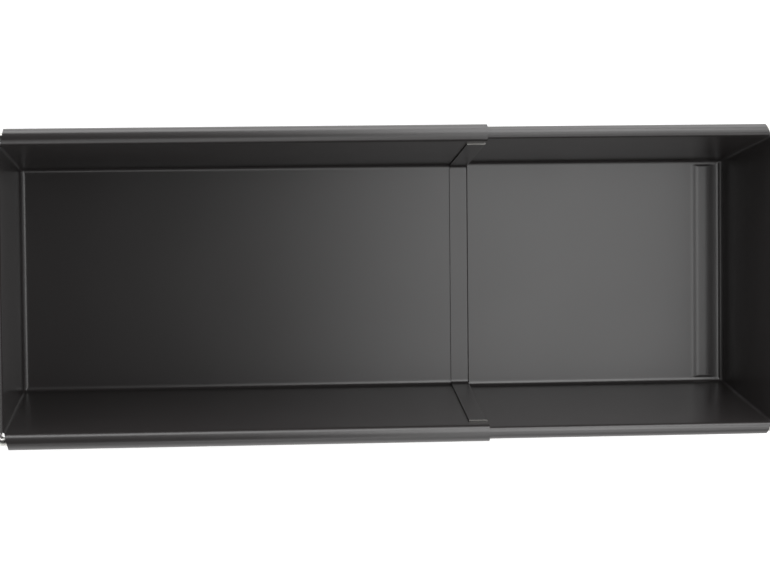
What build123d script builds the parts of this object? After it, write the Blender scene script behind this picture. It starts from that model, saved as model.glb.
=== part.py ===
"""Extendable loaf tin of coated sheet steel: two open trays that slide into each other.

The outer tray stands on the table. Its long rims are rolled round a wire. The inner tray
slides inside it, and its long rims reach over the outer tray's rolled rims and grip them.
X runs along the tin, +X towards the outer tray's end wall, Y across it and Z up.
The origin is at the centre of the tin as photographed, on the table. Sizes are in millimetres.
"""
import os
from math import atan2, cos, degrees, hypot, radians

from build123d import *

# Sheet and wire
sheet = 0.6
wire_diameter = 3.5
wire_play = 0.05
wire_bend = 2.4
wire_setback = 1.0

# Both trays, measured inside the outer one
floor_width = 90.5
rim_width = 110.4
tray_height = 68.0
tray_length = 190.0
end_lean = 7.0
bend_radius = 2.2

# How the trays run in each other
tray_overlap = 75.0
running_gap = 0.3
inner_wire_leg = 14.0

# Rolled rims: how far each one goes round, and how its corner is cut back, in degrees
rim_roll = 295.0
guide_roll = 232.0
notch_angle = 28.0

# Hem at the inner tray's open end
hem_width = 7.3
hem_drop = 5.2

# Stop bead pressed up across the outer tray's floor
bead_width = 12.0
bead_height = 0.45
bead_flank = 4.0
bead_to_end = 1.4
bead_to_side = 0.4

# Folded corner flaps on the outside of each end wall
flap_width = 34.0
flap_foot = 4.0
flap_sheets = 2

# How far a cut runs past what it cuts
overrun = 5.0

# Rolled rims: their outside radius, and the line that both trays' rims share
rim_radius = wire_diameter / 2 + wire_play + sheet
guide_radius = rim_radius + running_gap + sheet
rim_z = tray_height - rim_radius
rim_y = rim_width / 2 + rim_radius

# Places along the tin
half_length = tray_length - tray_overlap / 2
rim_end_x = half_length - rim_radius
wall_end_x = rim_end_x - rim_radius
floor_end_x = wall_end_x - end_lean
open_x = tray_length - half_length

# Walls: how far they lean out from floor to rim, and how far the inner tray's stand inside
side_lean = (rim_width - floor_width) / 2
wall_rise = rim_z - sheet
side_angle = degrees(atan2(side_lean, wall_rise))
wall_shift = running_gap + sheet / cos(radians(side_angle))

OUTER = 1
INNER = -1

os.makedirs("parts", exist_ok=True)


def wall_share(z):
    """How far up the outer tray's wall a height lies: 0 at its floor, 1 at its rim."""
    return (z - sheet) / wall_rise


def end_plane(end, floor_z):
    """Inside face of a tray's end wall, from its foot, with the normal pointing out of the tray."""
    foot_x = floor_end_x + end_lean * wall_share(floor_z)
    return Plane(origin=(end * foot_x, 0, floor_z), x_dir=(0, end, 0), z_dir=(end * wall_rise, 0, -end_lean))


def hollow_profile(floor_z, shift):
    """Space inside a tray, cut across: a trapezium from the floor up to the rim."""
    low_y = floor_width / 2 + side_lean * wall_share(floor_z) - shift
    high_y = rim_width / 2 - shift
    Polyline((-high_y, rim_z), (-low_y, floor_z), (low_y, floor_z), (high_y, rim_z), close=True)


def make_pan(end, floor_z, shift):
    """Floor, side walls and end wall of one tray, folded from one sheet and open at the other end."""
    with BuildPart() as pan:
        with BuildSketch(Plane.YZ.offset(-end * open_x)):
            with BuildLine():
                hollow_profile(floor_z, shift)
            make_face()
        extrude(amount=end * (tray_length + overrun))
        split(bisect_by=end_plane(end, floor_z), keep=Keep.BOTTOM)
        open_face = pan.faces().sort_by(Axis.X, reverse=end < 0)[0]
        top_face = pan.faces().sort_by(Axis.Z)[-1]
        open_edges = open_face.edges() + top_face.edges()
        fillet([edge for edge in pan.edges() if edge not in open_edges], radius=bend_radius)
        open_face = pan.faces().sort_by(Axis.X, reverse=end < 0)[0]
        top_face = pan.faces().sort_by(Axis.Z)[-1]
        offset(amount=sheet, openings=[open_face, top_face], kind=Kind.INTERSECTION)
    return pan.part


def roll_profile(centre, radius, wall_side, roll):
    """Sheet edge rolled round a centre, cut across. It leaves the wall upwards and goes over the top."""
    with Locations(centre):
        Circle(radius)
        Circle(radius - sheet, mode=Mode.SUBTRACT)
    wall_angle = 90 + wall_side * 90
    gap_angles = [wall_angle + wall_side * (360 - roll) * share for share in (0, 1 / 2, 1)]
    reach = 2 * radius
    corners = [Vector(*centre) + Vector(reach, 0).rotate(Axis.Z, angle) for angle in gap_angles]
    Polygon(centre, *corners, align=None, mode=Mode.SUBTRACT)


def make_rims(end, side_radius, side_roll, shift):
    """Two long rims and the end rim of one tray, cut back at an angle at the closed corners."""
    with BuildPart() as rims:
        with BuildSketch(Plane.YZ.offset(-end * open_x)):
            roll_profile((rim_y, rim_z), side_radius, 1, side_roll)
        extrude(amount=end * tray_length)
        mirror(about=Plane.XZ)
        with BuildSketch(Plane.XZ):
            roll_profile((end * rim_end_x, rim_z), rim_radius, end, rim_roll)
        extrude(amount=rim_y, both=True)
        corner = (end * wall_end_x, rim_width / 2 - shift)
        reach = 4 * side_radius
        side_cut = Vector(-end * reach, 0).rotate(Axis.Z, -end * (90 - notch_angle))
        end_cut = Vector(0, -reach).rotate(Axis.Z, end * (90 - notch_angle))
        with BuildSketch(Plane.XY.offset(rim_z - side_radius - overrun)):
            with BuildLine():
                Polyline(
                    corner,
                    (corner[0] + side_cut.X, corner[1] + side_cut.Y),
                    (corner[0] + end * reach, corner[1] + reach),
                    (corner[0] + end_cut.X, corner[1] + end_cut.Y),
                    close=True,
                )
            make_face()
            mirror(about=Plane.XZ)
        extrude(amount=2 * (side_radius + overrun), mode=Mode.SUBTRACT)
    return rims.part


def make_flaps(end, floor_z, shift):
    """Spare sheet of the two corners, folded flat against the outside of the end wall."""
    wall_slope_length = hypot(rim_z - rim_radius - floor_z, end_lean)
    foot_y = floor_width / 2 - shift - bend_radius
    head_y = rim_width / 2 - shift - bend_radius
    with BuildPart() as flaps:
        with BuildSketch(end_plane(end, floor_z).offset(sheet)):
            with BuildLine():
                Polyline(
                    (foot_y, flap_foot),
                    (head_y, wall_slope_length),
                    (head_y - flap_width, wall_slope_length),
                    close=True,
                )
            make_face()
        extrude(amount=flap_sheets * sheet)
        mirror(about=Plane.XZ)
    return flaps.part


def bead_form(base_z):
    """Shallow hump with sloping flanks, the form that the stop bead has above and below."""
    middle_x = floor_end_x - bead_to_end - bead_width / 2
    base_length = floor_width - 2 * (bend_radius + bead_to_side)
    with BuildPart() as form:
        with BuildSketch(Plane((middle_x, 0, base_z))):
            Rectangle(bead_width, base_length)
        with BuildSketch(Plane((middle_x, 0, base_z + bead_height))):
            Rectangle(bead_width - 2 * bead_flank, base_length - 2 * bead_flank)
        loft(ruled=True)
    return form.part


def make_hem(floor_z, shift):
    """Strip along the inner tray's open edge, folded inwards onto its floor and walls."""
    with BuildPart() as hem:
        with BuildSketch(Plane.YZ.offset(open_x)) as strip:
            with BuildLine():
                hollow_profile(floor_z, shift)
            make_face()
            fillet(strip.vertices().group_by(Axis.Y)[0], radius=bend_radius)
            offset(amount=-sheet, mode=Mode.SUBTRACT)
            with Locations((0, rim_z)):
                Rectangle(rim_width, 2 * hem_drop, mode=Mode.SUBTRACT)
        extrude(amount=-hem_width)
    return hem.part


def make_wire(end, leg_end_x):
    """Rim wire: across the end rim, round both corners and along the long rims to leg_end_x."""
    with BuildPart() as wire:
        with BuildLine(Plane.XY.offset(rim_z)) as route:
            FilletPolyline(
                (leg_end_x, rim_y),
                (end * rim_end_x, rim_y),
                (end * rim_end_x, -rim_y),
                (leg_end_x, -rim_y),
                radius=wire_bend,
            )
        with BuildSketch(Plane(origin=route.line @ 0, z_dir=route.line % 0)):
            Circle(wire_diameter / 2)
        sweep()
    return wire.part


# Outer tray: pan, wired rims, corner flaps and the stop bead in its floor
outer_floor_z = sheet
outer_pieces = [
    make_pan(OUTER, outer_floor_z, 0),
    make_rims(OUTER, rim_radius, rim_roll, 0),
    make_flaps(OUTER, outer_floor_z, 0),
    bead_form(outer_floor_z),
]
bead_recess = bead_form(outer_floor_z - sheet)
with BuildPart() as outer_tray:
    add(outer_pieces)
    add(bead_recess, mode=Mode.SUBTRACT)
outer_tray.part.label = "outer_tray"
export_step(outer_tray.part, "parts/outer_tray.step")

# Inner tray: pan, guide rims over the outer tray's rims, corner flaps and the hem
inner_floor_z = outer_floor_z + sheet
inner_pieces = [
    make_pan(INNER, inner_floor_z, wall_shift),
    make_rims(INNER, guide_radius, guide_roll, wall_shift),
    make_flaps(INNER, inner_floor_z, wall_shift),
    make_hem(inner_floor_z, wall_shift),
]
with BuildPart() as inner_tray:
    add(inner_pieces)
inner_tray.part.label = "inner_tray"
export_step(inner_tray.part, "parts/inner_tray.step")

# Wire rolled into the outer tray's three rims
outer_wire = make_wire(OUTER, wire_setback - open_x)
outer_wire.label = "outer_rim_wire"
export_step(outer_wire, "parts/outer_rim_wire.step")

# Wire rolled into the inner tray's end rim, with a short leg round each corner
inner_wire = make_wire(INNER, inner_wire_leg - rim_end_x)
inner_wire.label = "inner_rim_wire"
export_step(inner_wire, "parts/inner_rim_wire.step")
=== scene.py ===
"""Looks of an extendable loaf tin: two coated steel trays that slide into each other, and their wires.

Each tray is one folded sheet. Its middle surface is worked out with numpy as a grid of columns round
the tray and rows from the floor over the bend, up the wall and round the rolled rim. The sheet then
gets its thickness along the surface's own normals. All lengths are in metres.
"""
from math import atan, cos, pi, radians, sin, tan

import bpy
import numpy as np
from bpy.props import FloatProperty, FloatVectorProperty, PointerProperty, StringProperty
from mathutils import Matrix, Vector


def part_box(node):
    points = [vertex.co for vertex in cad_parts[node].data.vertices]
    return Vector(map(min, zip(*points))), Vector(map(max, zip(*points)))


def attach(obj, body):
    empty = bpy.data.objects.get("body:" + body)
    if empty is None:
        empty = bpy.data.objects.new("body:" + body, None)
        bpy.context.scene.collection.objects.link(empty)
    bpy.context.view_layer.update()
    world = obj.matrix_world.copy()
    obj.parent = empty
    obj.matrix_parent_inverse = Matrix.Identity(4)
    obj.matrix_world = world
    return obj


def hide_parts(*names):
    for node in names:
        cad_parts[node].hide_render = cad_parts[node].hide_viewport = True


bl_info = {
    "name": "Extendable loaf tin",
    "version": (1, 0, 0),
    "blender": (4, 5, 0),
    "location": "View3D > Sidebar > Loaf tin",
    "description": "Builds the trays, rim wires, stage and light of an extendable loaf tin",
    "category": "Object",
}

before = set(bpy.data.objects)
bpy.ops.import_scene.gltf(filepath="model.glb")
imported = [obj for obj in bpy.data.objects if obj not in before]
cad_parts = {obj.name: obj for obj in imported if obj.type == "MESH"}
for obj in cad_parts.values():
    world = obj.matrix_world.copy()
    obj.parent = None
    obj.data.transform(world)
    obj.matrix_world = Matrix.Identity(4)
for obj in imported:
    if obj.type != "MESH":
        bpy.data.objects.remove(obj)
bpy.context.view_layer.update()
OUTER_LOW, OUTER_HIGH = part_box("outer_tray")
INNER_LOW, INNER_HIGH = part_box("inner_tray")
OUTER_WIRE_LOW, OUTER_WIRE_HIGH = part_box("outer_rim_wire")
_, INNER_WIRE_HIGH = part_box("inner_rim_wire")
MM = 0.001

# Which way a tray's closed end points along X
OUTER_END = 1
INNER_END = -1

# Sizes that the frame gives: the line that all rims are rolled round, and the radius of each roll
WIRE_RADIUS = (OUTER_WIRE_HIGH.z - OUTER_WIRE_LOW.z) / 2
RIM_Z = (OUTER_WIRE_HIGH.z + OUTER_WIRE_LOW.z) / 2
RIM_RADIUS = OUTER_HIGH.z - RIM_Z
RIM_Y = OUTER_HIGH.y - RIM_RADIUS
RIM_END_X = OUTER_HIGH.x - RIM_RADIUS
WALL_END_X = RIM_END_X - RIM_RADIUS
GUIDE_RADIUS = INNER_HIGH.y - RIM_Y
SHEET = INNER_LOW.z - OUTER_LOW.z
OPEN_X = INNER_HIGH.x

# Inside of the outer tray's side wall at the rim, and how far its walls rise
WALL_Y = OUTER_HIGH.y - 2 * RIM_RADIUS
WALL_RISE = RIM_Z - SHEET

# How wide the coating rounds the sheets' raw edges
COATED_EDGE = 0.12 * MM

# How far a wire's domed end stands out, and how wide its flat tip is, as shares of its radius
WIRE_DOME = 0.5
WIRE_TIP = 0.02

# How many steps go round each kind of curve
BEND_STEPS = 9
CORNER_STEPS = 12
HEM_FOLD_STEPS = 8
FLAP_CORNER_STEPS = 6
WIRE_BEND_STEPS = 8
WIRE_DOME_STEPS = 4
WIRE_SIDES = 24
ROLL_STEP = radians(9)

# Spacing of rows and columns. A narrow guard beside a fold keeps the shading of the flat sheet flat.
GUARD = 0.3 * MM
FLAT_STEP = 4 * MM
ACROSS_STEP = 3 * MM
BEAD_STEP = 0.45 * MM
HEM_STEP = 2.2 * MM

# The strip at each side of the floor where the bead ends, and the spacing there
BEAD_END_STRIP = 2 * MM
BEAD_END_STEP = 0.25 * MM

# Spacing of rows up a wall, as shares of its height: below the hem's top, and above it
LOW_WALL_STEP = 0.12
HIGH_WALL_STEP = 0.04


class TinSizes(bpy.types.PropertyGroup):
    """Sizes of the folded sheet that the frame's boxes don't give."""

    floor_width: FloatProperty(
        name="Floor width", description="Between the outer tray's side walls at the floor",
        default=90.5 * MM, unit="LENGTH", subtype="DISTANCE",
    )
    end_lean: FloatProperty(
        name="End lean", description="How far an end wall leans out from floor to rim", default=5.8 * MM,
        unit="LENGTH", subtype="DISTANCE",
    )
    bend_radius: FloatProperty(
        name="Bend radius", description="Inside radius of the folds", default=2.2 * MM,
        unit="LENGTH", subtype="DISTANCE",
    )
    rim_roll: FloatProperty(
        name="Rim roll", description="How far a wired rim goes round",
        default=radians(295), subtype="ANGLE",
    )
    guide_roll: FloatProperty(
        name="Guide roll", description="How far a guide rim goes round",
        default=radians(232), subtype="ANGLE",
    )
    notch_angle: FloatProperty(
        name="Notch angle", description="How far the outer tray's rims are cut back at a corner",
        default=radians(24), subtype="ANGLE",
    )
    guide_notch_angle: FloatProperty(
        name="Guide notch angle", description="How far the inner tray's rims are cut back at a corner",
        default=radians(14), subtype="ANGLE",
    )
    hem_width: FloatProperty(
        name="Hem width", description="Width of the strip folded in at the open end", default=7.3 * MM,
        unit="LENGTH", subtype="DISTANCE",
    )
    hem_drop: FloatProperty(
        name="Hem drop", description="How far the hem stops below the rim's middle", default=4.0 * MM,
        unit="LENGTH", subtype="DISTANCE",
    )
    hem_gap: FloatProperty(
        name="Hem gap", description="Air between the hem and its sheet", default=0.06 * MM,
        unit="LENGTH", subtype="DISTANCE",
    )
    bead_width: FloatProperty(
        name="Bead width", description="Width of the stop bead in the floor", default=10.6 * MM,
        unit="LENGTH", subtype="DISTANCE",
    )
    bead_height: FloatProperty(
        name="Bead height", description="Height of the stop bead above the floor", default=0.36 * MM,
        unit="LENGTH", subtype="DISTANCE",
    )
    bead_rise: FloatProperty(
        name="Bead rise", description="Width of the bead's sloping side towards the tray's middle",
        default=3.0 * MM, unit="LENGTH", subtype="DISTANCE",
    )
    bead_fall: FloatProperty(
        name="Bead fall", description="Width of the bead's sloping side towards the end wall",
        default=5.0 * MM, unit="LENGTH", subtype="DISTANCE",
    )
    bead_side_flank: FloatProperty(
        name="Bead side flank", description="Width of the bead's sloping ends at the side walls",
        default=1.0 * MM, unit="LENGTH", subtype="DISTANCE",
    )
    bead_to_end: FloatProperty(
        name="Bead to end", description="From the bead to the foot of the end wall", default=2.05 * MM,
        unit="LENGTH", subtype="DISTANCE",
    )
    bead_to_side: FloatProperty(
        name="Bead to side", description="From the bead to the bend of a side wall", default=-0.5 * MM,
        unit="LENGTH", subtype="DISTANCE",
    )
    flap_width: FloatProperty(
        name="Flap width", description="Width of a folded corner flap under the end rim",
        default=34.0 * MM, unit="LENGTH", subtype="DISTANCE",
    )
    flap_foot: FloatProperty(
        name="Flap foot", description="Height of a flap's lower tip above the floor",
        default=4.0 * MM, unit="LENGTH", subtype="DISTANCE",
    )
    wire_bend: FloatProperty(
        name="Wire bend", description="Radius of the wire's line at a corner", default=2.4 * MM,
        unit="LENGTH", subtype="DISTANCE",
    )


class TinFinishes(bpy.types.PropertyGroup):
    """Colours as sRGB hex values, and how glossy the finishes are."""

    coating: StringProperty(
        name="Coating", description="Colour of the non-stick coating", default="#322F2F",
    )
    # Bare steel of the hem's cut edge. Only its upward faces get it, so it is also a painted highlight.
    edge: StringProperty(
        name="Cut edge", description="Colour of the hem's bare cut edge", default="#8E8D8A",
    )
    wire: StringProperty(name="Wire", description="Colour of the plain steel wire", default="#C9C8C4")
    paper: StringProperty(name="Floor", description="Colour of the studio floor", default="#F4F4F3")
    coating_roughness: FloatProperty(
        name="Coating roughness", description="Roughness of the non-stick coating",
        default=0.3, min=0, max=1, subtype="FACTOR",
    )


class TinStudio(bpy.types.PropertyGroup):
    """Camera and lamps."""

    eye: FloatVectorProperty(
        name="Camera", description="Where the camera stands", default=(-0.1066, 0.0645, 1.2001),
        subtype="TRANSLATION", unit="LENGTH",
    )
    tilt: FloatVectorProperty(
        name="Tilt", description="Camera turned from straight down, about X, Y and Z",
        default=(radians(3.34), radians(5.247), radians(0.841)), subtype="EULER",
    )
    lens: FloatProperty(name="Lens", description="Focal length in millimetres", default=139.5, min=10)
    panel_level: FloatProperty(
        name="Softboxes", description="Brightness of all softboxes together", default=1.0, min=0,
    )
    fill_level: FloatProperty(
        name="Fill", description="Strength of the light from all round", default=0.02, min=0,
    )


# Softboxes: name, centre, width and length, the way it faces, and watts to the square metre
SOFTBOXES = (
    ("overhead_near", (0.125, -0.115, 0.6), (0.15, 0.47), (0, 0, -1), 6.1),
    ("overhead_far", (0.36, -0.115, 0.6), (0.32, 0.47), (0, 0, -1), 4.15),
    ("overhead_back", (0.175, 0.46, 0.6), (0.25, 0.68), (0, 0, -1), 10.8),
    ("overhead_front", (0.1, -0.575, 0.6), (0.4, 0.45), (0, 0, -1), 4.0),
    ("overhead_left_front", (-0.3, -0.575, 0.6), (0.4, 0.45), (0, 0, -1), 1.3),
    ("back", (0.0, 0.9, 0.31), (1.6, 0.58), (0, -1, 0), 8.0),
    ("front", (0.0, -0.9, 0.31), (1.6, 0.58), (0, 1, 0), 3.2),
    ("left", (-0.9, 0.0, 0.31), (1.6, 0.58), (1, 0, 0), 2.8),
    ("right", (0.9, 0.0, 0.31), (1.6, 0.58), (-1, 0, 0), 2.1),
)


# Mesh tools


def ladder(stops, steps):
    """Rising or falling values through all stops, at about the given step between each two."""
    parts = []
    for start, stop, step in zip(stops[:-1], stops[1:], steps):
        count = max(1, round(abs(stop - start) / step))
        parts.append(np.linspace(start, stop, count + 1)[:-1])
    return np.concatenate(parts + [np.array(stops[-1:])])


class MiddleSurface:
    """A sheet's middle surface: points, and quads whose normals all point to the sheet's inner face."""

    def __init__(self):
        self.points = np.zeros((0, 3))
        self.quads = np.zeros((0, 4), dtype=int)

    def add_points(self, points):
        """Adds an array of points of shape (..., 3) and returns their numbers in the same layout."""
        first = len(self.points)
        self.points = np.concatenate([self.points, points.reshape(-1, 3)])
        return np.arange(first, len(self.points)).reshape(points.shape[:-1])

    def add_quads(self, numbers, flip=False):
        """Adds the quads of a grid of point numbers. The normal is along columns crossed with rows."""
        low, high = numbers[:-1], numbers[1:]
        quads = np.stack([low[:, :-1], low[:, 1:], high[:, 1:], high[:, :-1]], axis=-1).reshape(-1, 4)
        self.quads = np.concatenate([self.quads, quads[:, ::-1] if flip else quads])

    def thickened(self, thickness):
        """Closed shell: each point moves half the thickness both ways along its normal."""
        used, renumbered = np.unique(self.quads, return_inverse=True)
        p, q = self.points[used], renumbered.reshape(-1, 4)
        face_normals = np.cross(p[q[:, 2]] - p[q[:, 0]], p[q[:, 3]] - p[q[:, 1]])
        face_normals /= np.linalg.norm(face_normals, axis=1, keepdims=True)
        normals = np.zeros_like(p)
        np.add.at(normals, q.ravel(), np.repeat(face_normals, 4, axis=0))
        normals /= np.linalg.norm(normals, axis=1, keepdims=True)
        leaning = np.zeros(len(p))
        shares = np.zeros(len(p))
        np.add.at(leaning, q.ravel(), np.einsum("ij,ikj->ik", face_normals, normals[q]).ravel())
        np.add.at(shares, q.ravel(), 1.0)
        step = normals * (thickness / 2 / (leaning / shares))[:, None]
        count = len(p)
        edges = np.concatenate([q[:, [0, 1]], q[:, [1, 2]], q[:, [2, 3]], q[:, [3, 0]]])
        # The sheet's free edges are those that no neighbour runs along the other way. They get a wall.
        edges = edges[edges[:, 0] != edges[:, 1]]
        forward = edges[:, 0] * count + edges[:, 1]
        backward = edges[:, 1] * count + edges[:, 0]
        rim = edges[~np.isin(forward, backward)]
        sides = np.stack([rim[:, 1], rim[:, 0], rim[:, 0] + count, rim[:, 1] + count], axis=1)
        return np.concatenate([p + step, p - step]), np.concatenate([q, q[:, ::-1] + count, sides])


def as_faces(quads):
    """Quads as lists, where a quad with a doubled corner becomes a triangle."""
    doubled = quads == np.roll(quads, 1, axis=1)
    whole = quads[~doubled.any(axis=1)].tolist()
    thin = quads[doubled.sum(axis=1) == 1]
    keep = ~doubled[doubled.sum(axis=1) == 1]
    return whole + thin[keep].reshape(-1, 3).tolist()


def make_object(name, points, faces, material, sharp_angle=radians(38)):
    """A mesh object at the origin, smooth apart from edges sharper than the angle."""
    mesh = bpy.data.meshes.new(name)
    mesh.from_pydata(points.tolist(), [], faces)
    mesh.shade_smooth()
    mesh.set_sharp_from_angle(angle=sharp_angle)
    mesh.materials.append(material)
    piece = bpy.data.objects.new(name, mesh)
    bpy.context.scene.collection.objects.link(piece)
    return piece


def soften_edges(piece, width):
    """Rounds the raw edges of the sheet a little, as its coating does."""
    bevel = piece.modifiers.new("coated edges", "BEVEL")
    bevel.limit_method = "ANGLE"
    bevel.angle_limit = radians(60)
    bevel.width = width
    bevel.segments = 2
    bevel.harden_normals = True


# Materials


def hex_to_linear(hex_colour):
    """Linear RGBA of an sRGB hex value."""
    channels = np.array([int(hex_colour[i:i + 2], 16) / 255 for i in (1, 3, 5)])
    linear = np.where(channels <= 0.04045, channels / 12.92, ((channels + 0.055) / 1.055) ** 2.4)
    return (*linear.tolist(), 1.0)


def add_node(tree, kind, links=None, **settings):
    """Adds a shader node, sets its properties and input values, and links its inputs from sockets."""
    node = tree.nodes.new(kind)
    for key, value in settings.items():
        if key in node.inputs:
            node.inputs[key].default_value = value
        else:
            setattr(node, key, value)
    for key, socket in (links or {}).items():
        tree.links.new(socket, node.inputs[key])
    return node


def new_material(name):
    """A material without nodes, and its node tree."""
    material = bpy.data.materials.new(name)
    material.use_nodes = True
    material.node_tree.nodes.clear()
    return material, material.node_tree


def coated_steel(finishes):
    """Carbon steel sheet with a sprayed and baked non-stick coat: near-black, satin, finely grained."""
    material, tree = new_material("non-stick coated steel")
    place = add_node(tree, "ShaderNodeTexCoord").outputs["Object"]
    # Sprayed droplets that flowed together, about half a millimetre across
    grain = add_node(tree, "ShaderNodeTexNoise", {"Vector": place}, Scale=1 / (0.5 * MM), Detail=2.0)
    # Broad differences in the coat's thickness, some centimetres across
    cloud = add_node(tree, "ShaderNodeTexNoise", {"Vector": place}, Scale=1 / (30 * MM), Detail=3.0)
    gloss = add_node(tree, "ShaderNodeMapRange", {"Value": cloud.outputs["Fac"]})
    change = 0.02
    gloss.inputs["To Min"].default_value = finishes.coating_roughness - change
    gloss.inputs["To Max"].default_value = finishes.coating_roughness + change
    bump = add_node(
        tree, "ShaderNodeBump", {"Height": grain.outputs["Fac"]}, Strength=0.06, Distance=0.02 * MM,
    )
    coat = add_node(
        tree, "ShaderNodeBsdfPrincipled",
        {"Roughness": gloss.outputs["Result"], "Normal": bump.outputs["Normal"]},
    )
    coat.inputs["Base Color"].default_value = hex_to_linear(finishes.coating)
    coat.inputs["IOR"].default_value = 1.79
    add_node(tree, "ShaderNodeOutputMaterial", {"Surface": coat.outputs["BSDF"]})
    return material


def drawn_wire(finishes):
    """Plain drawn steel wire: bright, with fine duller specks where the die has marked it."""
    material, tree = new_material("drawn steel wire")
    place = add_node(tree, "ShaderNodeTexCoord").outputs["Object"]
    specks = add_node(tree, "ShaderNodeTexNoise", {"Vector": place}, Scale=1 / (0.4 * MM), Detail=3.0)
    gloss = add_node(tree, "ShaderNodeMapRange", {"Value": specks.outputs["Fac"]})
    gloss.inputs["To Min"].default_value = 0.2
    gloss.inputs["To Max"].default_value = 0.36
    steel = add_node(tree, "ShaderNodeBsdfPrincipled", {"Roughness": gloss.outputs["Result"]}, Metallic=1.0)
    steel.inputs["Base Color"].default_value = hex_to_linear(finishes.wire)
    add_node(tree, "ShaderNodeOutputMaterial", {"Surface": steel.outputs["BSDF"]})
    return material


def bare_edge_with_highlight(finishes):
    """Bare carbon steel of the coated sheet's sheared edge, grey with a fine, torn grain; also a painted
    highlight where it is put.
    """
    material, tree = new_material("sheared steel and painted highlight")
    place = add_node(tree, "ShaderNodeTexCoord").outputs["Object"]
    grain = add_node(tree, "ShaderNodeTexNoise", {"Vector": place}, Scale=1 / (0.3 * MM), Detail=2.0)
    gloss = add_node(tree, "ShaderNodeMapRange", {"Value": grain.outputs["Fac"]})
    gloss.inputs["To Min"].default_value = 0.35
    gloss.inputs["To Max"].default_value = 0.5
    steel = add_node(tree, "ShaderNodeBsdfPrincipled", {"Roughness": gloss.outputs["Result"]}, Metallic=1.0)
    steel.inputs["Base Color"].default_value = hex_to_linear(finishes.edge)
    add_node(tree, "ShaderNodeOutputMaterial", {"Surface": steel.outputs["BSDF"]})
    return material


def studio_paper(finishes):
    """Matt white paper.

    The camera and reflections see it brighter than the lamps make it, and more so away from the tin:
    its glow rises with the distance from the middle, so the tin's soft shadow still shows.
    """
    material, tree = new_material("studio paper")
    path = add_node(tree, "ShaderNodeLightPath")
    paper = add_node(tree, "ShaderNodeBsdfDiffuse")
    paper.inputs["Color"].default_value = hex_to_linear(finishes.paper)
    place = add_node(tree, "ShaderNodeTexCoord").outputs["Object"]
    distance = add_node(tree, "ShaderNodeVectorMath", operation="LENGTH")
    tree.links.new(place, distance.inputs[0])
    strength = add_node(tree, "ShaderNodeMapRange", {"Value": distance.outputs["Value"]})
    near, far = 0.25, 0.8
    near_glow, far_glow = 0.68, 1.0
    for key, value in (("From Min", near), ("From Max", far), ("To Min", near_glow), ("To Max", far_glow)):
        strength.inputs[key].default_value = value
    glow = add_node(tree, "ShaderNodeEmission", {"Strength": strength.outputs["Result"]})
    both = add_node(tree, "ShaderNodeAddShader")
    tree.links.new(paper.outputs[0], both.inputs[0])
    tree.links.new(glow.outputs[0], both.inputs[1])
    mirrored = add_node(tree, "ShaderNodeMath", operation="MAXIMUM")
    tree.links.new(path.outputs["Is Glossy Ray"], mirrored.inputs[0])
    tree.links.new(path.outputs["Is Transmission Ray"], mirrored.inputs[1])
    seen = add_node(tree, "ShaderNodeMath", operation="MAXIMUM")
    tree.links.new(path.outputs["Is Camera Ray"], seen.inputs[0])
    tree.links.new(mirrored.outputs[0], seen.inputs[1])
    mixed = add_node(tree, "ShaderNodeMixShader", {"Fac": seen.outputs[0]})
    tree.links.new(paper.outputs[0], mixed.inputs[1])
    tree.links.new(both.outputs[0], mixed.inputs[2])
    add_node(tree, "ShaderNodeOutputMaterial", {"Surface": mixed.outputs[0]})
    return material


# The folded sheet of a tray


def wall_slopes(sizes):
    """How far the side walls and the end wall lean out for each unit of height."""
    return (WALL_Y - sizes.floor_width / 2) / WALL_RISE, sizes.end_lean / WALL_RISE


def tray_columns(sizes, floor_z, shift, along):
    """Columns of a tray's grid, from the open end along +Y, round the closed end and back along -Y.

    For each column: its foot on the floor, the horizontal direction it faces, and how far it
    spreads out for each unit of height. Side columns face +-Y, end columns face +X, and the corner
    columns fan out from one foot. Also returns where the side columns stand along the tray and the end
    columns across it, and the middle surface's floor height and bend radius.
    """
    side_slope, end_slope = wall_slopes(sizes)
    floor_mid_z = floor_z - SHEET / 2
    bend = sizes.bend_radius + SHEET / 2
    below_rim = RIM_Z - floor_mid_z
    foot_y = WALL_Y - shift - side_slope * below_rim
    foot_y += SHEET / 2 / cos(atan(side_slope)) - bend * tan((pi / 2 - atan(side_slope)) / 2)
    foot_x = WALL_END_X - end_slope * below_rim
    foot_x += SHEET / 2 / cos(atan(end_slope)) - bend * tan((pi / 2 - atan(end_slope)) / 2)
    side_x = along(foot_x)
    strip_y = foot_y - BEAD_END_STRIP
    end_y = ladder(
        (foot_y, foot_y - GUARD, strip_y, -strip_y, GUARD - foot_y, -foot_y),
        (GUARD, BEAD_END_STEP, ACROSS_STEP, BEAD_END_STEP, GUARD),
    )
    turn = np.linspace(0, pi / 2, CORNER_STEPS + 1)[1:-1]
    fraction = (side_x - side_x[0]) / (foot_x - side_x[0])
    ones_x, ones_t, ones_y = np.ones_like(side_x), np.ones_like(turn), np.ones_like(end_y)
    side = [
        np.stack([side_x, foot_y * ones_x], 1),
        np.stack([0 * ones_x, ones_x], 1),
        np.stack([fraction * end_slope, side_slope * ones_x], 1),
    ]
    corner = [
        np.stack([foot_x * ones_t, foot_y * ones_t], 1),
        np.stack([np.sin(turn), np.cos(turn)], 1),
        np.stack([end_slope * ones_t, side_slope * ones_t], 1),
    ]
    end = [
        np.stack([foot_x * ones_y, end_y], 1),
        np.stack([ones_y, 0 * ones_y], 1),
        np.stack([end_slope * ones_y, side_slope * end_y / foot_y], 1),
    ]
    # The sheet's other half mirrors the first one
    across = np.array([1, -1])
    columns = [
        np.concatenate([s, c, e, (c * across)[::-1], (s * across)[::-1]])
        for s, c, e in zip(side, corner, end)
    ]
    return columns, side_x, end_y, floor_mid_z, bend


def roll_angles(slope, roll):
    """Angles of a rolled rim seen along it: from where the wall touches the roll, over the top."""
    steps = max(2, round((roll - atan(slope)) / ROLL_STEP))
    return np.linspace(pi - atan(slope), pi - roll, steps + 1)


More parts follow.
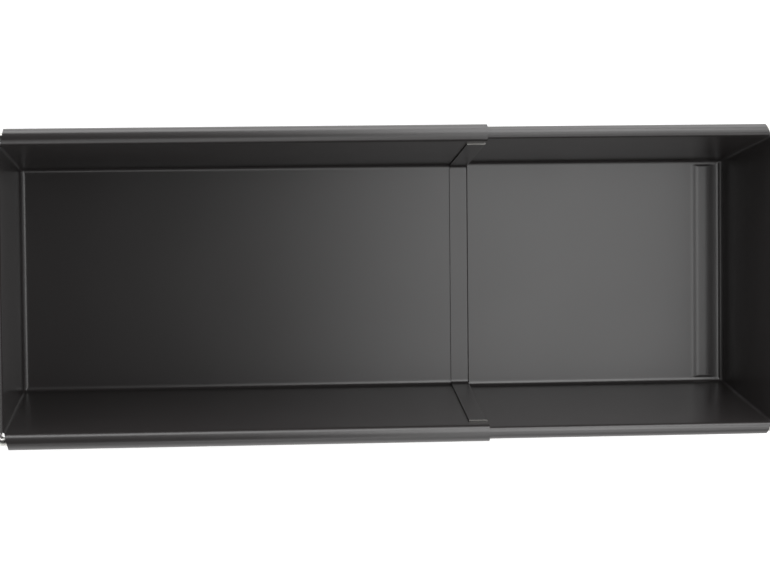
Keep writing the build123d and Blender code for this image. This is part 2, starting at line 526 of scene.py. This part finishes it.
def tray_sheet(sizes, end, floor_z, shift, side_radius, side_roll, notch, along, height_at, has_hem):
    """One tray as a folded sheet with its thickness.

    A column starts on the floor, follows the bend's arc (foot + facing * bend * sin a, height
    bend * (1 - cos a)), then the straight wall up to where the rolled rim starts. At the upright corners
    the arc reaches further out, on a curve between a quarter circle and a square corner. The rims are
    arcs round the rim line, carried along the wall and cut back at the corners by the notch angle. The
    hem is the open edge's own line carried round a half circle and back.
    """
    side_slope, end_slope = wall_slopes(sizes)
    (foot, facing, spread), side_x, end_y, floor_mid_z, bend = tray_columns(sizes, floor_z, shift, along)
    nx, ny, total = len(side_x), len(end_y), len(foot)
    turn_count = (total - 2 * nx - ny) // 2
    lean = np.arctan(np.einsum("ij,ij->i", facing, spread))
    # An upright corner is tighter than a round one: x and y to this power add up to one, not their squares
    tightness = 4
    corner_reach = np.sum(np.abs(facing) ** tightness, axis=1) ** (-1 / tightness)
    # Top of the wall: on the side and end rolls, and in between round the corner
    side_mid, end_mid = side_radius - SHEET / 2, RIM_RADIUS - SHEET / 2
    turned = np.arctan2(np.abs(facing[:, 0]), np.abs(facing[:, 1])) / (pi / 2)
    top_side = RIM_Z + side_mid * sin(atan(side_slope))
    top_end = RIM_Z + end_mid * sin(atan(end_slope))
    top_z = top_side + (top_end - top_side) * turned
    # Rows over the bend
    bend_share = np.linspace(0, 1, BEND_STEPS + 1)
    angle = bend_share[:, None] * (pi / 2 - lean)[None, :]
    bend_xy = foot[None] + facing[None] * (bend * corner_reach * np.sin(angle))[:, :, None]
    bend_z = floor_mid_z + bend * (1 - np.cos(angle))
    # Rows up the wall
    wall_height = top_side - bend_z[-1, 0]
    hem_top = (RIM_Z - sizes.hem_drop - bend_z[-1, 0]) / wall_height
    guard = GUARD / wall_height
    wall_share = ladder(
        (guard, hem_top - 2 * guard, hem_top, hem_top + guard, 1),
        (LOW_WALL_STEP, guard, guard, HIGH_WALL_STEP),
    )
    height = wall_share[:, None] * (top_z - bend_z[-1])[None, :]
    wall_xy = bend_xy[-1][None] + spread[None] * height[:, :, None]
    # The wall's top is moved the hair's breadth that makes it meet the roll
    start_side = RIM_Y - side_mid * cos(atan(side_slope))
    start_end = RIM_END_X - end_mid * cos(atan(end_slope))
    miss_side = start_side - wall_xy[-1, 0, 1]
    miss_end = start_end - wall_xy[-1, nx + turn_count, 0]
    miss = miss_side + (miss_end - miss_side) * turned
    wall_xy += facing[None] * (wall_share[:, None] * miss[None, :])[:, :, None]
    wall_z = bend_z[-1][None] + height
    grid = np.concatenate([
        np.concatenate([bend_xy, bend_z[:, :, None]], axis=2),
        np.concatenate([wall_xy, wall_z[:, :, None]], axis=2),
    ])
    hem_row = len(bend_share) + int(np.argmin(np.abs(wall_share - hem_top)))
    nose = SHEET + sizes.hem_gap / 2
    if has_hem:
        grid[:hem_row + 1, [0, -1], 0] += nose

    surface = MiddleSurface()
    numbers = surface.add_points(grid)
    # All columns of a corner start at the same foot
    numbers[0, nx:nx + turn_count + 1] = numbers[0, nx - 1]
    numbers[0, nx + turn_count + ny - 1:total - nx] = numbers[0, total - nx]
    surface.add_quads(numbers)

    # Floor
    floor_x = side_x.copy()
    if has_hem:
        floor_x[0] += nose
    x, y = np.meshgrid(floor_x, end_y, indexing="ij")
    floor_points = np.stack([x, y, floor_mid_z + height_at(x, y)], axis=-1)
    floor = surface.add_points(floor_points)
    floor[:, 0] = numbers[0, :nx]
    floor[:, -1] = numbers[0, ::-1][:nx]
    floor[-1, 1:-1] = numbers[0, nx + turn_count + 1:nx + turn_count + ny - 1]
    surface.add_quads(floor)

    # Rolled rims
    cut = tan(notch)
    wall_in_y = WALL_Y - shift
    angles = roll_angles(side_slope, side_roll)[1:, None]
    out_y = RIM_Y + side_mid * np.cos(angles)
    side_top = grid[-1, :nx, 0]
    reach = (WALL_END_X - cut * (out_y - wall_in_y) - side_top[0]) / (side_top[-1] - side_top[0])
    roll_x = side_top[0] + (side_top[None, :] - side_top[0]) * reach
    roll_z = RIM_Z + side_mid * np.sin(angles) + 0 * roll_x
    for sign, top in ((1, numbers[-1, :nx]), (-1, numbers[-1, ::-1][:nx])):
        roll = surface.add_points(np.stack([roll_x, sign * out_y + 0 * roll_x, roll_z], axis=-1))
        surface.add_quads(np.concatenate([top[None], roll]), flip=sign < 0)
    angles = roll_angles(end_slope, sizes.rim_roll)[1:, None]
    out_x = RIM_END_X + end_mid * np.cos(angles)
    end_top = grid[-1, nx + turn_count:nx + turn_count + ny, 1]
    roll_y = end_top[None, :] * (wall_in_y - cut * (out_x - WALL_END_X)) / end_top[0]
    roll_z = RIM_Z + end_mid * np.sin(angles) + 0 * roll_y
    roll = surface.add_points(np.stack([out_x + 0 * roll_y, roll_y, roll_z], axis=-1))
    surface.add_quads(np.concatenate([numbers[-1, nx + turn_count:nx + turn_count + ny][None], roll]))

    if has_hem:
        edge = np.concatenate([numbers[hem_row:0:-1, 0], floor[0], numbers[1:hem_row + 1, -1]])
        start = surface.points[edge]
        up_wall = np.ones(hem_row + 1 - len(bend_share))
        tilt = np.concatenate([bend_share, up_wall])[1:] * (pi / 2 - lean[0])
        tilt = np.concatenate([tilt[::-1], np.zeros(ny), tilt])
        inward = np.stack([0 * tilt, -np.sign(start[:, 1]) * np.sin(tilt), np.cos(tilt)], axis=1)
        fold = (SHEET + sizes.hem_gap) / 2
        turn = np.linspace(0, pi, HEM_FOLD_STEPS + 1)[1:]
        back = ladder((GUARD, sizes.hem_width - nose), (HEM_STEP,))
        out = np.concatenate([-fold * np.sin(turn), back])
        lift = np.concatenate([fold * (1 - np.cos(turn)), 2 * fold + 0 * back])
        lengthways = np.array([1, 0, 0])
        strip = start[None] + inward[None] * lift[:, None, None] + lengthways * out[:, None, None]
        surface.add_quads(np.concatenate([edge[None], surface.add_points(strip)]), flip=True)

    surface.points[:, 0] *= end
    if end < 0:
        surface.quads = surface.quads[:, ::-1]
    return surface.thickened(SHEET)


def corner_flaps(sizes, end, floor_z, shift):
    """Two folded corner flaps as flat plates on the end wall's outside.

    The outline is a triangle with rounded corners, raised along the wall's normal by two sheets and
    drawn in at the top, so that the fold looks soft. They sink a little into the end wall.
    """
    side_slope, slope = wall_slopes(sizes)
    up = np.array([sin(atan(slope)), 0, cos(atan(slope))])
    out = np.array([cos(atan(slope)), 0, -sin(atan(slope))])
    foot_x = WALL_END_X - slope * (RIM_Z - floor_z)
    length = (RIM_Z - RIM_RADIUS - floor_z) / cos(atan(slope))
    foot_y = sizes.floor_width / 2 - shift - sizes.bend_radius
    head_y = foot_y + side_slope * length
    corners = np.array([(foot_y, sizes.flap_foot), (head_y, length), (head_y - sizes.flap_width, length)])
    corner_radius, soft_edge, sink = 0.8 * MM, 0.25 * MM, 0.05 * MM
    t = np.linspace(0, 1, FLAP_CORNER_STEPS + 1)[:, None]
    outline = []
    for i in range(len(corners)):
        here, before, after = corners[i], corners[i - 1], corners[(i + 1) % len(corners)]
        a = (before - here) / np.linalg.norm(before - here)
        b = (after - here) / np.linalg.norm(after - here)
        half = np.arccos(np.clip(a @ b, -1, 1)) / 2
        near = min(corner_radius / tan(half), sizes.flap_width / 4)
        p, q = here + a * near, here + b * near
        outline.append((1 - t) ** 2 * p + 2 * t * (1 - t) * here + t ** 2 * q)
    outline = np.concatenate(outline)
    to_middle = outline.mean(axis=0) - outline
    inset = outline + to_middle / np.linalg.norm(to_middle, axis=1, keepdims=True) * soft_edge
    base = np.array([foot_x, 0, floor_z]) + out * SHEET
    rings = []
    for ring, lift in ((outline, -sink), (outline, 2 * SHEET - soft_edge), (inset, 2 * SHEET)):
        rings.append(base + np.outer(ring[:, 0], (0, 1, 0)) + np.outer(ring[:, 1], up) + out * lift)
    count = len(outline)
    points = np.concatenate(rings)
    here = np.arange(count)
    following = np.roll(here, -1)
    side = np.stack([here, following, following + count, here + count], axis=1)[:, ::-1]
    faces = side.tolist() + (side + count).tolist()
    faces += [(here + 2 * count)[::-1].tolist(), here.tolist()]
    mirrored = points * np.array([1, -1, 1])
    all_points = np.concatenate([points, mirrored])
    all_faces = faces + [[n + len(points) for n in face[::-1]] for face in faces]
    all_points[:, 0] *= end
    if end < 0:
        all_faces = [face[::-1] for face in all_faces]
    return all_points, all_faces


def add_tray(name, body, node, sheet_parts, flap_parts, material):
    """Joins the sheet and its corner flaps into one piece that stands for the node."""
    points, quads = sheet_parts
    flap_points, flap_faces = flap_parts
    faces = as_faces(quads) + [[n + len(points) for n in face] for face in flap_faces]
    tray = make_object(name, np.concatenate([points, flap_points]), faces, material)
    soften_edges(tray, COATED_EDGE)
    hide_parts(node)
    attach(tray, body)
    return tray


def bare_hem_top_and_highlight(tray, sizes, finishes):
    """Gives the upward faces at the hem's top, its cut edge, their own bare steel material, as a painted
    highlight.
    """
    mesh = tray.data
    mesh.materials.append(bare_edge_with_highlight(finishes))
    count = len(mesh.polygons)
    centres, normals, slots = np.empty(3 * count), np.empty(3 * count), np.zeros(count, dtype=np.int32)
    mesh.polygons.foreach_get("center", centres)
    mesh.polygons.foreach_get("normal", normals)
    at_top = np.abs(centres[2::3] - (RIM_Z - sizes.hem_drop)) < SHEET
    # Only the faces that point up get the bare steel: a painted highlight along the hem's top
    faces_up_for_highlight = normals[2::3] > cos(radians(45))
    slots[at_top & faces_up_for_highlight] = 1
    mesh.polygons.foreach_set("material_index", slots)


def wire_tube(sizes, end, leg_x, radius):
    """Round wire with domed ends: a circle carried along three straight runs and two quarter turns."""
    bend = sizes.wire_bend
    turn = np.linspace(0, pi / 2, WIRE_BEND_STEPS + 1)
    turn_x, turn_y = RIM_END_X - bend, RIM_Y - bend
    corner = np.stack([turn_x + bend * np.sin(turn), turn_y + bend * np.cos(turn)], axis=1)
    line = np.concatenate([[(leg_x, RIM_Y)], corner, (corner * (1, -1))[::-1], [(leg_x, -RIM_Y)]])
    tangent_angle = np.concatenate([[0], -turn, -(pi - turn[::-1]), [-pi]])
    side = np.stack([-np.sin(tangent_angle), np.cos(tangent_angle)], axis=1)
    along = np.stack([np.cos(tangent_angle), np.sin(tangent_angle)], axis=1)
    dome = np.linspace(pi / 2, 0, WIRE_DOME_STEPS + 1)[:-1]
    bulge = np.sin(dome)[:, None] * radius * WIRE_DOME
    centres = np.concatenate([line[:1] - along[:1] * bulge, line, line[-1:] + along[-1:] * bulge[::-1]])
    sides = np.concatenate([np.repeat(side[:1], len(dome), 0), side, np.repeat(side[-1:], len(dome), 0)])
    radii = radius * np.concatenate([np.cos(dome), np.ones(len(line)), np.cos(dome[::-1])])
    radii = np.maximum(radii, radius * WIRE_TIP)
    ring = np.linspace(0, 2 * pi, WIRE_SIDES + 1)[:-1]
    offset = radii[:, None, None] * (
        np.cos(ring)[None, :, None] * np.concatenate([sides, 0 * sides[:, :1]], axis=1)[:, None]
        + np.sin(ring)[None, :, None] * np.array([0, 0, 1])
    )
    centre = np.concatenate([centres, np.full((len(centres), 1), RIM_Z)], axis=1)
    points = centre[:, None] + offset
    rows, count = points.shape[:2]
    numbers = np.arange(rows * count).reshape(rows, count)
    wrapped = np.concatenate([numbers, numbers[:, :1]], axis=1)
    quads = np.stack([wrapped[:-1, :-1], wrapped[:-1, 1:], wrapped[1:, 1:], wrapped[1:, :-1]], axis=-1)
    faces = quads.reshape(-1, 4).tolist() + [numbers[0, ::-1].tolist(), numbers[-1].tolist()]
    flat = points.reshape(-1, 3)
    flat[:, 0] *= end
    if end < 0:
        faces = [face[::-1] for face in faces]
    return flat, faces


def bead_span(sizes):
    """Where the stop bead starts and ends along the tray."""
    bead_end = WALL_END_X - sizes.end_lean - sizes.bead_to_end
    return bead_end - sizes.bead_width, bead_end


def stop_bead(sizes, x, y):
    """Height of the bead over the floor: a flat hump with cosine flanks, each with its own width."""
    start, stop = bead_span(sizes)
    side = sizes.floor_width / 2 - sizes.bend_radius - sizes.bead_to_side
    inside = np.minimum((x - start) / sizes.bead_rise, (stop - x) / sizes.bead_fall)
    inside = np.minimum(inside, (side - np.abs(y)) / sizes.bead_side_flank)
    return sizes.bead_height * (1 - np.cos(pi * np.clip(inside, 0, 1))) / 2


# Operators


class TIN_OT_outer_tray(bpy.types.Operator):
    """Builds the outer tray, which stands on the table"""

    bl_idname = "tin.outer_tray"
    bl_label = "Outer tray"

    def execute(self, context):
        sizes, finishes = context.scene.tin_sizes, context.scene.tin_finishes
        bead_x = bead_span(sizes)[0]
        margin = 1.0 * MM

        def along(foot_x):
            """Where the side columns stand: closest over the bead."""
            stops = (-OPEN_X, margin - OPEN_X, bead_x - margin, foot_x - GUARD, foot_x)
            return ladder(stops, (margin, FLAT_STEP, BEAD_STEP, GUARD))

        sheet_parts = tray_sheet(
            sizes, OUTER_END, SHEET, 0.0, RIM_RADIUS, sizes.rim_roll, sizes.notch_angle,
            along, lambda x, y: stop_bead(sizes, x, y), False,
        )
        flaps = corner_flaps(sizes, OUTER_END, SHEET, 0.0)
        add_tray("outer_tray_sheet", "outer", "outer_tray", sheet_parts, flaps, coated_steel(finishes))
        return {"FINISHED"}


class TIN_OT_inner_tray(bpy.types.Operator):
    """Builds the inner tray, which slides in the outer one and grips its rims"""

    bl_idname = "tin.inner_tray"
    bl_label = "Inner tray"

    def execute(self, context):
        sizes, finishes = context.scene.tin_sizes, context.scene.tin_finishes
        shift = GUIDE_RADIUS - RIM_RADIUS

        margin = 1.5 * MM

        def along(foot_x):
            """Where the side columns stand."""
            stops = (-OPEN_X, margin - OPEN_X, foot_x - GUARD, foot_x)
            return ladder(stops, (margin, FLAT_STEP, GUARD))

        sheet_parts = tray_sheet(
            sizes, INNER_END, 2 * SHEET, shift, GUIDE_RADIUS, sizes.guide_roll, sizes.guide_notch_angle,
            along, lambda x, y: 0 * x, True,
        )
        flaps = corner_flaps(sizes, INNER_END, 2 * SHEET, shift)
        coat = coated_steel(finishes)
        tray = add_tray("inner_tray_sheet", "inner", "inner_tray", sheet_parts, flaps, coat)
        bare_hem_top_and_highlight(tray, sizes, finishes)
        return {"FINISHED"}


class TIN_OT_rim_wires(bpy.types.Operator):
    """Builds the wires that the rims are rolled round"""

    bl_idname = "tin.rim_wires"
    bl_label = "Rim wires"

    def execute(self, context):
        sizes, finishes = context.scene.tin_sizes, context.scene.tin_finishes
        metal = drawn_wire(finishes)
        for name, body, node, end, leg_x in (
            ("outer_wire", "outer", "outer_rim_wire", OUTER_END, OUTER_WIRE_LOW.x),
            ("inner_wire", "inner", "inner_rim_wire", INNER_END, -INNER_WIRE_HIGH.x),
        ):
            points, faces = wire_tube(sizes, end, leg_x + WIRE_DOME * WIRE_RADIUS, WIRE_RADIUS)
            wire = make_object(name, points, faces, metal)
            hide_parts(node)
            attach(wire, body)
        return {"FINISHED"}


class TIN_OT_stage(bpy.types.Operator):
    """Adds the floor, the light and the camera"""

    bl_idname = "tin.stage"
    bl_label = "Stage"

    def execute(self, context):
        scene = context.scene
        studio, finishes = scene.tin_studio, scene.tin_finishes
        reach = 4.0
        corners = reach * np.array([(-1, -1, 0), (1, -1, 0), (1, 1, 0), (-1, 1, 0)])
        floor = make_object("studio_floor", corners, [[0, 1, 2, 3]], studio_paper(finishes))
        for name, centre, size, facing, brightness in SOFTBOXES:
            self.add_softbox(name, centre, size, facing, brightness * studio.panel_level)
        self.light_world(scene, studio)
        self.place_camera(scene, studio)
        scene.view_settings.view_transform = "Standard"
        return {"FINISHED"}

    def add_softbox(self, name, centre, size, facing, brightness):
        """Rectangular soft lamp, so many watts to the square metre, turned to face one way."""
        data = bpy.data.lights.new(name, "AREA")
        data.shape = "RECTANGLE"
        data.size, data.size_y = size
        data.energy = brightness * size[0] * size[1]
        lamp = bpy.data.objects.new(name, data)
        lamp.location = centre
        lamp.rotation_euler = Vector(facing).to_track_quat("-Z", "Y").to_euler()
        lamp.visible_camera = False
        bpy.context.scene.collection.objects.link(lamp)

    def light_world(self, scene, studio):
        """Even grey light from all round. The camera sees white beyond the floor."""
        world = bpy.data.worlds.new("studio")
        world.use_nodes = True
        tree = world.node_tree
        tree.nodes.clear()
        path = add_node(tree, "ShaderNodeLightPath")
        light = add_node(tree, "ShaderNodeBackground", Strength=studio.fill_level)
        seen = add_node(tree, "ShaderNodeBackground", Strength=1.0)
        light.inputs["Color"].default_value = (1, 1, 1, 1)
        seen.inputs["Color"].default_value = (1, 1, 1, 1)
        mixed = add_node(tree, "ShaderNodeMixShader", {"Fac": path.outputs["Is Camera Ray"]})
        tree.links.new(light.outputs[0], mixed.inputs[1])
        tree.links.new(seen.outputs[0], mixed.inputs[2])
        add_node(tree, "ShaderNodeOutputWorld", {"Surface": mixed.outputs[0]})
        scene.world = world

    def place_camera(self, scene, studio):
        """Camera almost straight above, with a long lens."""
        data = bpy.data.cameras.new("camera")
        data.lens = studio.lens
        data.sensor_width = 36
        data.clip_start, data.clip_end = 0.05, 20
        camera = bpy.data.objects.new("camera", data)
        turn = Matrix.Identity(3)
        for axis, angle in zip("XYZ", studio.tilt):
            turn = turn @ Matrix.Rotation(-angle, 3, axis)
        camera.location = studio.eye
        camera.rotation_euler = turn.to_euler()
        scene.collection.objects.link(camera)
        scene.camera = camera


class TIN_PT_panel(bpy.types.Panel):
    """Buttons and settings for the loaf tin"""

    bl_idname = "TIN_PT_panel"
    bl_label = "Loaf tin"
    bl_space_type = "VIEW_3D"
    bl_region_type = "UI"
    bl_category = "Loaf tin"

    def draw(self, context):
        for group in (context.scene.tin_sizes, context.scene.tin_finishes, context.scene.tin_studio):
            box = self.layout.box()
            for key in group.__annotations__:
                box.prop(group, key)
        for operator in OPERATORS:
            self.layout.operator(operator.bl_idname)


OPERATORS = (TIN_OT_outer_tray, TIN_OT_inner_tray, TIN_OT_rim_wires, TIN_OT_stage)
CLASSES = (TinSizes, TinFinishes, TinStudio) + OPERATORS + (TIN_PT_panel,)


def register():
    for item in CLASSES:
        bpy.utils.register_class(item)
    bpy.types.Scene.tin_sizes = PointerProperty(type=TinSizes)
    bpy.types.Scene.tin_finishes = PointerProperty(type=TinFinishes)
    bpy.types.Scene.tin_studio = PointerProperty(type=TinStudio)


def unregister():
    for key in ("tin_sizes", "tin_finishes", "tin_studio"):
        delattr(bpy.types.Scene, key)
    for item in reversed(CLASSES):
        bpy.utils.unregister_class(item)


def main():
    """Builds everything."""
    register()
    bpy.ops.tin.outer_tray()
    bpy.ops.tin.inner_tray()
    bpy.ops.tin.rim_wires()
    bpy.ops.tin.stage()


if __name__ == "__main__":
    main()
